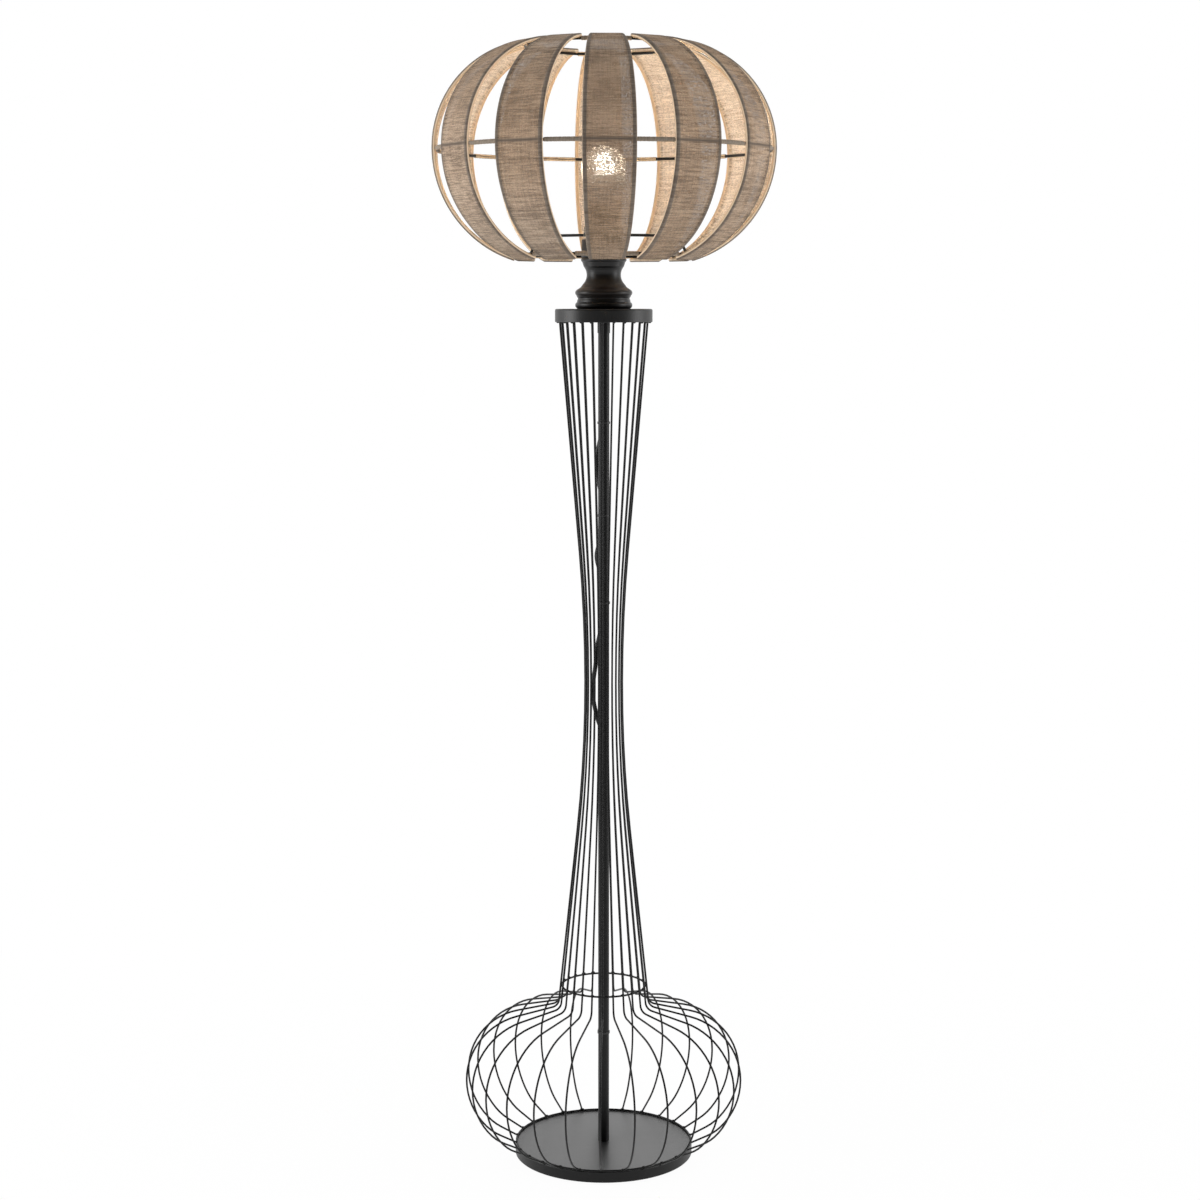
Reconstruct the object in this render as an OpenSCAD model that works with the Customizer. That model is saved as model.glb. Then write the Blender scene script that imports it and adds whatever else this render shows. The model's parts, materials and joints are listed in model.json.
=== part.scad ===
// Floor lamp: a cage of bent rods on a round base, a turned neck and a ball shade of cloth strips.
// The origin is on the floor under the pole. The front is -Y and +Z is up. Sizes are in millimetres.

/* [Base] */
// Radius of the base plate
base_r = 122; // [95:1:160]
// Thickness of the base plate
base_t = 15; // [12:0.5:24]
// Thickness of the felt pads under the plate
pad_t = 1.5; // [1:0.5:4]
// Radius of each felt pad
pad_r = 11; // [6:1:16]
// Distance from the plate's edge to the middle of a pad
pad_inset = 22; // [17:1:40]
// How far the cage's foot ring lies inside the plate's edge
foot_inset = 1.5; // [1.4:0.1:8]

/* [Pole] */
// Radius of the pole
pole_r = 7.5; // [6.5:0.1:10]
// Wall of the pole
pole_wall = 1.2; // [0.8:0.1:2]
// Height of the cap's underside above the floor, where the pole ends
cap_z = 1143.3; // [900:0.1:1400]
// Radius of the threaded tubes
tube_r = 5; // [4:0.5:5]

/* [Cage] */
// How many rods the cage has
rod_count = 26; // [12:1:30]
// Radius of a rod
rod_r = 1.3; // [1:0.1:2]
// Turn of the front rod from the middle, in degrees
rod_turn = -1.5; // [-7:0.1:7]
// How far the rods at the back are set round to the left, in degrees
rod_drift = 2.4; // [0:0.1:4]
// Radius of the column at its waist, to the middle of a rod
waist_r = 25.2; // [24:0.1:34]
// Height of the waist
waist_z = 659; // [560:1:700]
// Height of the bend above the waist
waist_up = 180; // [120:1:220]
// Height of the bend below the waist
waist_down = 200; // [120:1:240]
// Radius of the column at the inner ring
throat_r = 59.55; // [50:0.05:66]
// Height of the inner ring
throat_z = 238; // [225:1:260]
// Radius of the bulge, to the middle of a rod
bulge_r = 189.3; // [175:0.1:230]
// Radius of the bend over the bulge
bulge_up = 90; // [70:1:100]
// Radius of the bend under the bulge
bulge_down = 97; // [85:1:110]
// Radius of the bend that brings a rod in to the base
foot_rho = 66; // [50:1:75]
// Radius of the elbow between the column and the shoulder
elbow_rho = 12; // [6:1:20]
// Slope of the shoulder, in degrees
shoulder_a = 13; // [5:1:20]

/* [Cap and neck] */
// Radius of the cap
cap_r = 64.7; // [62:0.1:90]
// Height of the cap
cap_h = 17.3; // [15:0.1:24]
// Wall of the cap
cap_wall = 1.3; // [0.8:0.1:2]
// Thickness of the plate that the rods are welded to
plate_t = 3; // [2:0.5:4]
// Height of the collar on the pole
collar_h = 14.5; // [8:0.5:24]
// Height of the turned neck
neck_h = 67.4; // [55:0.1:90]
// Radius of the neck's beads
neck_r = 37.9; // [34:0.1:50]
// Radius of the neck's waist
neck_waist_r = 22.6; // [16:0.1:26]
// Radius of the cup
cup_r = 29.6; // [26:0.1:36]
// Height of the cup
cup_h = 23.4; // [18:0.1:30]

/* [Lampholder and bulb] */
// Radius of the lampholder's skirt, which the shade's ring goes over
holder_r = 19.9; // [19.5:0.1:22]
// Length of the skirt
skirt_h = 41.5; // [38:0.5:46]
// Radius of the bulb's screw cap
bulb_cap_r = 13.1; // [13.1:0.1:13.4]
// Radius of the bulb
bulb_r = 30; // [24:0.5:40]

/* [Shade] */
// Radius of the shade to the middle of a strip's outside
shade_r = 224.6; // [200:0.1:270]
// Height of the shade's middle above the cup's underside
shade_rise = 140; // [135:1:150]
// Radius of the outline's upper half
upper_rho = 140.3; // [130:0.1:150]
// Radius of the outline's lower half
lower_rho = 151; // [140:0.5:160]
// Where the strips end at the top, as a radius
strip_top_r = 98.5; // [90:0.5:110]
// Where the strips end at the bottom, as a radius
strip_low_r = 118.5; // [100:0.5:130]
// How many strips of cloth go round
strip_count = 12; // [8:1:12]
// Half the width that a strip would have at the axis
strip_half = 9.4; // [6:0.1:12]
// How much a strip's half width grows for each mm of radius
strip_grow = 0.098; // [0.06:0.002:0.12]
// Turn of the front strip from the middle, in degrees
strip_turn = 1.75; // [-5:0.05:5]
// Thickness of the cloth on its liner
cloth_t = 1; // [0.6:0.1:2]
// Radius of the ribs in the hems
rib_r = 1.3; // [1:0.1:2]
// Radius of the shade's rings and arms
ring_r = 1.9; // [1.5:0.1:2.5]
// Radius of the top ring
top_ring_r = 103; // [98:0.5:110]
// Radius of the bottom ring
low_ring_r = 123.5; // [118:0.5:130]
// Thickness of the tape round the rings
tape_t = 0.65; // [0.4:0.05:0.9]
// Slope of an arm's drop to the bottom ring, in degrees
arm_drop = 60; // [45:1:75]
// Turn of the first arm from the right, in degrees
arm_turn = 24; // [0:1:119]

/* [Lead] */
// Radius of the lead
lead_r = 3; // [2.5:0.1:3.2]
// Turns of the hank
hank_turns = 4; // [2:2:6]
// Half the width of the hank's inner loop
hank_half = 18; // [16:1:24]
// Step from one loop to the next
hank_step = 7; // [6.8:0.1:9]
// Length of the hank's straight runs
hank_run = 90; // [60:5:110]
// How far the tie draws each run in
hank_pull = 11; // [0:1:12]

/* [Switch] */
// Length of the switch
switch_l = 72; // [60:1:80]
// Width of the switch
switch_w = 28; // [24:1:28]
// Swing of the rocker to each side, in degrees
rocker_a = 8; // [4:1:8]

/* [Hidden] */
$fn = 64;

// Room between flat or round pieces that are screwed or welded together
weld_gap = 0.1;
// Room round a shaft or a tube in its hole
hole_gap = 0.2;
// Room between the rocker's pins and their holes
pin_gap = 0.05;
// Room between a hem's rib and the cloth, which takes up the rib's own curve
rib_room = 0.5;
// Every second length of a bent rod is this much thinner and enters the next by this lap
rod_step = 0.04;
rod_lap = 0.4;

base_top = pad_t + base_t;
// The recess under the base plate holds the washer and the nut
recess_r = 16;
recess_h = 9;
washer_r = 12;
washer_t = 1.5;
nut_r = 9.8;
small_nut_r = 8;
nut_h = 5;
tube_bore = 3.6;
bush_h = 30;
pole_bore = pole_r - pole_wall;

// Cage: a rod's middle line in the plane of the axis, as [radius, height]
foot_r = base_r - foot_inset;
foot_z = base_top + weld_gap + rod_r;
low_a = 44;
foot_a = 64;
rod_top_r = cap_r - 6.15;
up_a = atan((rod_top_r - waist_r) / (cap_z - waist_z - waist_up / 2));
down_a = atan((throat_r - waist_r) / (waist_z - throat_z - waist_down / 2));
up_rho = waist_up / sin(up_a);
down_rho = waist_down / sin(down_a);
up_c = [waist_r + up_rho, waist_z];
down_c = [waist_r + down_rho, waist_z];
down_end = on(down_c, down_rho, 180 + down_a);
// The foot's line ends on the foot ring's middle, and that sets the height of the bulge
low_c0 = [bulge_r - bulge_down, 0];
foot_c0 = on(low_c0, bulge_down - foot_rho, -low_a);
foot_in0 = on(foot_c0, foot_rho, -foot_a);
bulge_z = foot_z - foot_in0.y + (foot_in0.x - foot_r) / tan(foot_a);
low_c = low_c0 + [0, bulge_z];
foot_c = foot_c0 + [0, bulge_z];
foot_in = foot_in0 + [0, bulge_z];
foot_end = [foot_r, foot_z] + (2 * rod_r + weld_gap - rod_r) * [sin(foot_a), cos(foot_a)];
bulge_c = [bulge_r - bulge_up, bulge_z];
shoulder = on(bulge_c, bulge_up, 90 - shoulder_a);
// Where the column's line and the shoulder's line cross
down_dir = [sin(down_a), -cos(down_a)];
shoulder_dir = [cos(shoulder_a), -sin(shoulder_a)];
corner = down_end + cross(shoulder - down_end, shoulder_dir) / cross(down_dir, shoulder_dir) * down_dir;
elbow_turn = 90 - down_a - shoulder_a;
elbow_in = corner - elbow_rho * tan(elbow_turn / 2) * down_dir;
elbow_c = elbow_in + elbow_rho * [cos(down_a), sin(down_a)];
elbow_out = on(elbow_c, elbow_rho, 270 - shoulder_a);

// Cap, neck and cup stand on each other
rod_plate_r = cap_r - cap_wall - weld_gap;
neck_z = cap_z + cap_h;
cup_z = neck_z + neck_h;
cup_wall = 1.5;
neck_top_r = cup_r + 0.5;
grommet_y = pole_r + 6.7;
grommet_r = 5.5;
grommet_neck_r = 4.4;
grommet_low = 2.5;
grommet_high = 1.5;

// Lampholder and bulb
holder_z = cup_z + cup_wall + nut_h;
skirt_z = holder_z + 17.5;
skirt_flange_h = 3.6;
skirt_flange_r = holder_r + 3.6;
skirt_wall = 2.7;
shell_r = bulb_cap_r + 0.4;
shell_t = 0.6;
insert_h = 10;
insert_top = skirt_z + insert_h;
// The skirt's lip lies over the screw shell, and the bulb's neck stands just above the lip
lip_h = 3;
skirt_top = skirt_z + skirt_h;
bulb_z = insert_top + 4;
bulb_neck_z = skirt_top + 0.5;
bulb_c = bulb_neck_z + 20 + bulb_r;
// The opal dome starts this far below the middle of its ball
dome_low = 10;
bulb_split = bulb_c - dome_low;
bulb_wall = 1.5;
board_t = 1.6;
dome_t = 1.2;

// Shade
shade_z = cup_z + shade_rise;
spider_t = 2 * ring_r + 0.4;
spider_z = skirt_z + skirt_flange_h;
arm_z = spider_z + spider_t / 2;
spider_r = holder_r + 7;
lock_h = 8;
upper_c = shade_r - upper_rho;
lower_c = shade_r - lower_rho;
top_a = acos((strip_top_r - upper_c) / upper_rho);
bottom_a = acos((strip_low_r - lower_c) / lower_rho);
rib_a = atan(strip_grow);
rib_depth = cloth_t + rib_room + rib_r;
ring_depth = rib_depth + rib_r + weld_gap + ring_r;
// A rib lies in a plane beside the axis, where the outline is longer than high, so a mean circle is used
rib_mean = (1 + 1 / cos(rib_a)) / 2;
rib_short = 0.6;
top_ring_z = shade_z + drop_to(upper_rho - ring_depth, beside(top_ring_r) - upper_c);
low_ring_z = shade_z - drop_to(lower_rho - ring_depth, beside(low_ring_r) - lower_c);
rib_mid = upper_c + rib_mean * cos(rib_a) * (upper_rho - rib_depth);
mid_ring_r = norm([rib_mid, strip_half + strip_grow * rib_mid]) - rib_r - weld_gap - ring_r;
arm_bend = 14;
arm_line = (arm_z - arm_bend * (1 - cos(arm_drop)) - low_ring_z) / sin(arm_drop);
arm_out = low_ring_r - arm_line * cos(arm_drop) - arm_bend * sin(arm_drop);

// Lead: points that it passes through, chosen by hand. Their Y is measured from the pole's outside.
// Over the switch, heights follow the height of the cap.
bend_z = 412;
function up(z) = z > bend_z ? bend_z + (z - bend_z) * (cap_z - bend_z) / (1143.3 - bend_z) : z;
function beyond_pole(points) = [for (p = points) [p.x, pole_r + p.y, up(p.z)]];
// The two layers of the hank lie this far to each side of the lead's line
hank_x = 3.3;
// The straight length at each end of the hank
hank_lead_in = 6;
hank_z = 52;
upper_route = beyond_pole([[0, 6.7, 1140], [0, 6.7, 1128], [0, 4.5, 1090], [1, 3.5, 1050], [0, 3.5, 1010],
    [-9.5, 3, 957], [-2, 3.5, 905], [0, 3.5, 886], [-2, 3.5, 860], [-9.5, 3, 830], [-2, 3.5, 798],
    [0, 3.5, 768], [-2, 3.5, 740], [-9, 3, 706], [-11, 2.5, 682], [-15, 1.5, 645], [-9, 3.5, 610],
    [0, 4.5, 580], [2, 7.5, 530], [0, 12.5, 470], [0, 15, 430], [0, 15, bend_z], [0, 15, 406]]);
lower_route = beyond_pole([[0, 15, 334], [0, 15, 328], [0, 14.5, 310], [-2, 10.5, 270],
    [-hank_x, 7, 225], [-hank_x, 6.5, 190], [-hank_x, 6.5, 154], [-hank_x, 6.5, 148]]);
tail_route = beyond_pole([[hank_x, 68.5, 148], [hank_x, 68.5, 154], [hank_x, 68.5, 162],
    [hank_x - 0.3, 73.5, 175], [2, 86.5, 180], [1, 99.5, 175], [0, 104.5, 162], [0, 104.5, 146],
    [0, 104.5, 140]]);
wire_route = [[0, 0, holder_z + 9.5], [0, 0, cap_z + 56.7], [0, 0, cap_z + 20.7], [0, 0.2, cap_z + 14.7],
    [0, 5, cap_z + 10.2], [0, grommet_y - 3.2, cap_z + 8.7], [0, grommet_y - 0.2, cap_z + 5.7],
    [0, grommet_y, cap_z + 2.7], [0, grommet_y, up(1140)]];
// Heights of the ties and the lead's distance behind the pole there
tie_heights = [up(1010), up(886), up(768)];
tie_y = pole_r + 3.5;
low_tie_z = 170;
low_tie_y = pole_r + 6.5;
hank_last = hank_turns - 0.5 + 5 / 24;
tie_t = 1;
tie_h = 3;
switch_y = pole_r + 15;
switch_z = 370;
switch_back = 6.5;
switch_front = 5.4;
switch_wall = 1.6;
rocker_l = 20;
rocker_w = 8;
rocker_x = 2.2;
rocker_pin = 1.25;
plug_y = pole_r + 104.5;
plug_z = 95;
plug_w = 35.3;
plug_t = 13.7;
plug_h = 33;
boot_h = 12;
pin_l = 19;
pin_r = 2;
pin_pitch = 19;

// Point of a circle
function on(c, rho, a) = c + rho * [cos(a), sin(a)];
// Height over a circle's middle at a distance beside it
function drop_to(rho, x) = sqrt(rho * rho - x * x);
// Where a rib's plane meets a circle round the axis, measured along the strip's middle
function beside(r) = let (a = strip_half, b = strip_grow)
    (sqrt(a * a * b * b - (1 + b * b) * (a * a - r * r)) - a * b) / (1 + b * b);
function arc(c, rho, from, to, n) = [for (i = [0 : n]) on(c, rho, from + (to - from) * i / n)];
function box_outline(w, h, r, n = 4) = concat(
    arc([w / 2 - r, h / 2 - r], r, 0, 90, n), arc([r - w / 2, h / 2 - r], r, 90, 180, n),
    arc([r - w / 2, r - h / 2], r, 180, 270, n), arc([w / 2 - r, r - h / 2], r, 270, 360, n));
// Outline of a belt round two circles, the second one at a distance along +Y
function belt(r1, r2, d) = let (a = asin((r1 - r2) / d))
    concat(arc([0, d], r2, a, 180 - a, 8), arc([0, 0], r1, 180 - a, 360 + a, 16));

module rod(a, b, r) {
    d = b - a;
    translate([a.x, 0, a.y]) rotate([0, atan2(d.x, d.y), 0]) cylinder(r = r, h = norm(d), $fn = 32);
}

// A bend in the plane of the axis, running anticlockwise
module bend(c, rho, from, sweep, r)
    translate([c.x, 0, c.y]) rotate([90, 0, 0])
        rotate_extrude(start = from, angle = sweep, $fn = rho > 500 ? 720 : 96)
            translate([rho, 0]) circle(r = r, $fn = 32);

// The thin lengths of a bent rod reach into the thick ones at both ends
module thin_rod(a, b, r) {
    way = (b - a) / norm(b - a);
    rod(a - rod_lap * way, b + rod_lap * way, r - rod_step);
}

module thin_bend(c, rho, from, sweep, r) {
    lap = rod_lap / rho * 180 / PI;
    bend(c, rho, from - lap, sweep + 2 * lap, r - rod_step);
}

module tube(z, h, r, bore) translate([0, 0, z]) difference() {
    cylinder(r = r, h = h);
    translate([0, 0, -1]) cylinder(r = bore, h = h + 2);
}

module hex_nut(z, h, r, bore) translate([0, 0, z]) difference() {
    cylinder(r = r, h = h, $fn = 6);
    translate([0, 0, -1]) cylinder(r = bore, h = h + 2);
}

module ring(z, big, r) translate([0, 0, z]) rotate_extrude($fn = 128) translate([big, 0]) circle(r = r);

module revolve(z, points) translate([0, 0, z]) rotate_extrude($fn = 96) polygon(points);

/* Base and pole */

module felt_pads() color("dimgray") for (a = [45 : 90 : 315]) rotate([0, 0, a])
    translate([base_r - pad_inset, 0, 0]) cylinder(r = pad_r, h = pad_t);

module base_plate() color([0.09, 0.09, 0.09]) difference() {
    revolve(pad_t, [[0, 0], [base_r - 1, 0], [base_r, 1], [base_r, base_t - 1], [base_r - 1, base_t],
        [0, base_t]]);
    translate([0, 0, -1]) cylinder(r = recess_r, h = pad_t + recess_h + 1);
    translate([0, 0, -1]) cylinder(r = tube_r + hole_gap, h = base_top + 2);
}

module base_washer() color("silver") tube(pad_t + recess_h - washer_t, washer_t, washer_r, tube_r + hole_gap);

module base_nut() color("silver")
    hex_nut(pad_t + recess_h - washer_t - nut_h, nut_h, nut_r, tube_r + weld_gap);

module foot_stud() color("goldenrod") tube(pad_t + 1.5, base_t + bush_h, tube_r, tube_bore);

module foot_bush() color("silver") tube(base_top, bush_h, pole_bore - weld_gap, tube_r + weld_gap);

module pole() color([0.08, 0.08, 0.08]) tube(base_top, cap_z - base_top, pole_r, pole_bore);

module pole_collar() color([0.08, 0.08, 0.08])
    tube(cap_z - collar_h, collar_h, pole_r + 0.9, pole_r + pin_gap);

module top_bush() color("silver") tube(cap_z - bush_h, bush_h, pole_bore - weld_gap, tube_r + weld_gap);

/* Cage */

module foot_ring() color([0.08, 0.08, 0.08]) ring(foot_z, foot_r, rod_r);

module inner_ring() color([0.08, 0.08, 0.08]) ring(throat_z, throat_r - 2 * rod_r - weld_gap, rod_r);

module cage_rod() {
    rod([rod_top_r, cap_z - 2 * weld_gap], on(up_c, up_rho, 180 - up_a), rod_r);
    thin_bend(up_c, up_rho, 180 - up_a, up_a, rod_r);
    bend(down_c, down_rho, 180, down_a, rod_r);
    thin_rod(down_end, elbow_in, rod_r);
    bend(elbow_c, elbow_rho, 180 + down_a, elbow_turn, rod_r);
    thin_rod(elbow_out, shoulder, rod_r);
    bend(bulge_c, bulge_up, 0, 90 - shoulder_a, rod_r);
    thin_bend(low_c, bulge_down, -low_a, low_a, rod_r);
    bend(foot_c, foot_rho, -foot_a, foot_a - low_a, rod_r);
    rod(foot_in + rod_lap * [sin(foot_a), cos(foot_a)], foot_end, rod_r - rod_step);
}

module cage_rods() color([0.08, 0.08, 0.08]) for (i = [0 : rod_count - 1]) {
    a = rod_turn + i * 360 / rod_count;
    rotate([0, 0, a + rod_drift * (1 - cos(a)) / 2 - 90]) cage_rod();
}

/* Cap, neck and cup */

module rod_plate() color([0.1, 0.1, 0.1]) difference() {
    translate([0, 0, cap_z]) cylinder(r = rod_plate_r, h = plate_t, $fn = 128);
    translate([0, 0, cap_z - 1]) cylinder(r = tube_r + hole_gap, h = plate_t + 2);
    translate([0, grommet_y, cap_z - 1]) cylinder(r = grommet_neck_r + weld_gap, h = plate_t + 2);
}

module plate_nut() color("silver") hex_nut(cap_z + plate_t, nut_h, small_nut_r, tube_r + weld_gap);

module lead_grommet() color("black") translate([0, grommet_y, 0]) difference() {
    union() {
        translate([0, 0, cap_z - grommet_low]) cylinder(r = grommet_r, h = grommet_low);
        translate([0, 0, cap_z - grommet_low]) cylinder(r = grommet_neck_r, h = grommet_low + plate_t + 1);
        translate([0, 0, cap_z + plate_t]) cylinder(r = grommet_r, h = grommet_high);
    }
    translate([0, 0, cap_z - 10]) cylinder(r = lead_r + hole_gap, h = 30);
}

module cap() color([0.08, 0.08, 0.08]) revolve(cap_z, concat(
    [[cap_r - cap_wall, 0], [cap_r - 0.6, 0], [cap_r, 0.6]],
    arc([cap_r - 2.2, cap_h - 2.2], 2.2, 0, 90, 5),
    [[tube_r + hole_gap, cap_h], [tube_r + hole_gap, cap_h - cap_wall]],
    arc([cap_r - 2.2, cap_h - 2.2], 2.2 - cap_wall, 90, 0, 3)));

module threaded_tube() color("goldenrod") difference() {
    tube(cap_z - bush_h, cup_z + cup_wall + nut_h + 10 - cap_z + bush_h, tube_r, tube_bore);
    translate([-tube_bore, 0, cap_z + plate_t + nut_h]) cube([2 * tube_bore, 10, cap_h - plate_t - nut_h]);
}

// Two beads with a groove, a flare up to a slim waist and a flange for the cup
module turned_neck() color([0.13, 0.1, 0.08]) revolve(neck_z, concat(
    [[tube_r + hole_gap, 0], [neck_r - 3, 0]],
    arc([neck_r - 4.8, 4.8], 4.8, -60, 60, 6),
    arc([neck_r - 1.2, 13.4], 2.4, 230, 130, 4),
    arc([neck_r - 4.4, 21.2], 4.4, -50, 55, 5),
    [[neck_r - 7.5, 28.6]],
    arc([neck_waist_r + 17.3, 44.6], 17.3, 226, 140, 9),
    arc([neck_top_r - 3.2, neck_h - 3.2], 3.2, -60, 60, 6),
    [[neck_top_r - 3, neck_h], [tube_r + hole_gap, neck_h]]));

module holder_cup() color([0.08, 0.08, 0.08]) revolve(cup_z, concat(
    [[tube_r + hole_gap, 0], [cup_r - 1.6, 0]],
    arc([cup_r - 1.6, 1.6], 1.6, -60, 0, 3),
    arc([cup_r - 0.4 - cup_wall / 2, cup_h - cup_wall / 2], cup_wall / 2, 0, 180, 6),
    [[cup_r - 0.4 - cup_wall, cup_wall], [tube_r + hole_gap, cup_wall]]));

module cup_nut() color("silver") hex_nut(cup_z + cup_wall, nut_h, small_nut_r, tube_r + weld_gap);

/* Lampholder */

module holder_base() color([0.07, 0.07, 0.07]) revolve(holder_z, [[tube_r + weld_gap, 0], [9, 0], [9, 5],
    [holder_r, 12], [holder_r, 17.5], [holder_r - 2.5, 17.5], [holder_r - 2.5, 13], [9, 7.5],
    [tube_r + weld_gap, 7.5]]);

module holder_insert() color("ivory") difference() {
    translate([0, 0, skirt_z])
        cylinder(r = holder_r - skirt_wall - weld_gap, h = insert_top - skirt_z);
    for (x = [-8, 8]) translate([x, 0, skirt_z - 1]) cylinder(r = 1.6, h = 20, $fn = 24);
}

// A sprung tongue that presses on the bulb's middle contact
module holder_contact() color("gold") translate([0, 3, insert_top]) rotate([90, 0, 0]) linear_extrude(6)
    polygon([[-9, 0], [-5, 0], [3, 3.3], [5, 3], [5.3, 3.6], [3, 3.9], [-5.2, 0.6], [-9, 0.6]]);

module holder_shell() color("gold") difference() {
    translate([0, 0, insert_top])
        cylinder(r = shell_r + shell_t, h = skirt_top - lip_h - hole_gap - insert_top);
    translate([0, 0, insert_top - 1]) cylinder(r = shell_r, h = skirt_h);
}

// The lip at the skirt's top holds the screw shell in place
module holder_skirt() color([0.07, 0.07, 0.07]) revolve(skirt_z, [[holder_r - skirt_wall, 0],
    [skirt_flange_r, 0], [skirt_flange_r, skirt_flange_h], [holder_r, skirt_flange_h],
    [holder_r, skirt_h - 1], [holder_r - 1, skirt_h], [shell_r, skirt_h], [shell_r, skirt_h - lip_h],
    [shell_r + shell_t + weld_gap, skirt_h - lip_h], [shell_r + shell_t + weld_gap, insert_h + 2],
    [holder_r - skirt_wall, insert_h]]);

/* Bulb */

module bulb_contact() color("dimgray") revolve(bulb_z, [[0, 0], [3.5, 0.3], [4.8, 1.4], [4.8, 2.2], [9, 4],
    [9, 5], [0, 5]]);

module bulb_cap() color("silver") revolve(bulb_z, [[9.1, 4], [bulb_cap_r - 1.6, 4], [bulb_cap_r, 5.6],
    [bulb_cap_r, bulb_neck_z - bulb_z], [bulb_cap_r - 0.5, bulb_neck_z - bulb_z], [bulb_cap_r - 0.5, 6],
    [9.1, 5]]);

// Half the bulb's outline, drawn in from its outside
function bulb_flank(inset) = let (side = drop_to(bulb_r, dome_low) - inset)
    concat([[bulb_cap_r + 0.6 - inset, 0], [bulb_cap_r + 1.4 - inset, 8]],
        [for (i = [1 : 6]) let (s = i / 6) [bulb_cap_r + 1.4 - inset + (side - bulb_cap_r - 1.4 + inset)
            * sin(90 * s), 8 + (bulb_split - bulb_neck_z - 8) * (0.25 * s + 0.75 * (1 - cos(90 * s)))]]);

module bulb_body() color("white") revolve(bulb_neck_z, concat(
    bulb_flank(0), [for (i = [7 : -1 : 0]) bulb_flank(bulb_wall)[i]]));

module bulb_board() color("gainsboro") translate([0, 0, bulb_split - board_t])
    cylinder(r = drop_to(bulb_r, dome_low) - bulb_wall - 0.3, h = board_t);

module bulb_dome() color("ivory") translate([0, 0, bulb_c]) rotate_extrude($fn = 96) difference() {
    intersection() {
        circle(r = bulb_r);
        translate([0, -dome_low]) square([bulb_r + 1, bulb_r + 2 * dome_low]);
    }
    circle(r = bulb_r - dome_t);
}

/* Shade frame */

module arm() {
    rod([holder_r + 4, arm_z], [arm_out, arm_z], ring_r);
    thin_bend([arm_out, arm_z - arm_bend], arm_bend, 90 - arm_drop, arm_drop, ring_r);
    rod(on([arm_out, arm_z - arm_bend], arm_bend, 90 - arm_drop),
        [low_ring_r, low_ring_z] - (ring_r + weld_gap) * [cos(arm_drop), -sin(arm_drop)], ring_r);
}

module shade_spider() color([0.08, 0.08, 0.08]) {
    tube(spider_z, spider_t, spider_r, holder_r + hole_gap);
    for (i = [0 : 2]) rotate([0, 0, arm_turn + 120 * i]) difference() {
        arm();
        translate([0, 0, spider_z - 1]) cylinder(r = spider_r - 2, h = spider_t + 2);
    }
}

module shade_lock_ring() color([0.07, 0.07, 0.07]) difference() {
    tube(spider_z + spider_t, lock_h, spider_r - 1, holder_r + weld_gap);
    for (i = [0 : 17]) rotate([0, 0, 20 * i])
        translate([spider_r - 0.6, 0, spider_z + spider_t + 2]) cylinder(r = 1.4, h = lock_h, $fn = 24);
}

module bottom_ring() color([0.08, 0.08, 0.08]) ring(low_ring_z, low_ring_r, ring_r);

module middle_ring() color([0.08, 0.08, 0.08]) ring(shade_z, mid_ring_r, ring_r);

module top_ring() color([0.08, 0.08, 0.08]) ring(top_ring_z, top_ring_r, ring_r);

module rib() translate([0, strip_half, 0]) rotate([0, 0, rib_a]) {
    bend([upper_c / cos(rib_a), shade_z], rib_mean * (upper_rho - rib_depth), 0, top_a - rib_short, rib_r);
    thin_bend([lower_c / cos(rib_a), shade_z], rib_mean * (lower_rho - rib_depth), rib_short - bottom_a,
        bottom_a - rib_short, rib_r);
}

module each_strip() for (i = [0 : strip_count - 1])
    rotate([0, 0, strip_turn - 90 + i * 360 / strip_count]) children();

module shade_ribs() color([0.1, 0.1, 0.1]) each_strip() {
    rib();
    mirror([0, 1, 0]) rib();
}

/* Shade cloth */

// Part of a round band between two angles
module band(c, rho, from, to) translate([c, 0]) intersection() {
    difference() {
        circle(r = rho, $fn = 180);
        circle(r = rho - cloth_t, $fn = 180);
    }
    polygon([[0, 0], 2 * rho * [cos(from), sin(from)], 3 * rho * [cos((from + to) / 2), sin((from + to) / 2)],
        2 * rho * [cos(to), sin(to)]]);
}

// A strip is flat across and as wide as its two ribs stand apart
module strip() intersection() {
    translate([0, 0, shade_z]) rotate([90, 0, 0]) linear_extrude(80, center = true) {
        band(upper_c, upper_rho, 0, top_a);
        band(lower_c, lower_rho, -bottom_a, 0);
    }
    translate([0, 0, shade_z - 200]) linear_extrude(400) polygon([
        for (p = [[50, -1], [shade_r + 10, -1], [shade_r + 10, 1], [50, 1]])
            [p.x, p.y * (strip_half + strip_grow * p.x)]]);
}

module shade_strips() color([0.62, 0.54, 0.44]) each_strip() strip();

// Sleeves of tape on a ring, each in the gap between two strips
module sleeves(z, r) {
    edge = asin((strip_half + strip_grow * beside(r) + rib_r + 0.6) / r);
    gap = 360 / strip_count - 2 * edge;
    each_strip() translate([0, 0, z]) rotate_extrude(start = edge, angle = gap, $fn = 96)
        translate([r, 0]) difference() {
            circle(r = ring_r + pin_gap + tape_t, $fn = 32);
            circle(r = ring_r + pin_gap, $fn = 32);
        }
}

module ring_tapes() color([0.66, 0.57, 0.45]) {
    sleeves(top_ring_z, top_ring_r);
    sleeves(shade_z, mid_ring_r);
    sleeves(low_ring_z, low_ring_r);
}

/* Lead */

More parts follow.
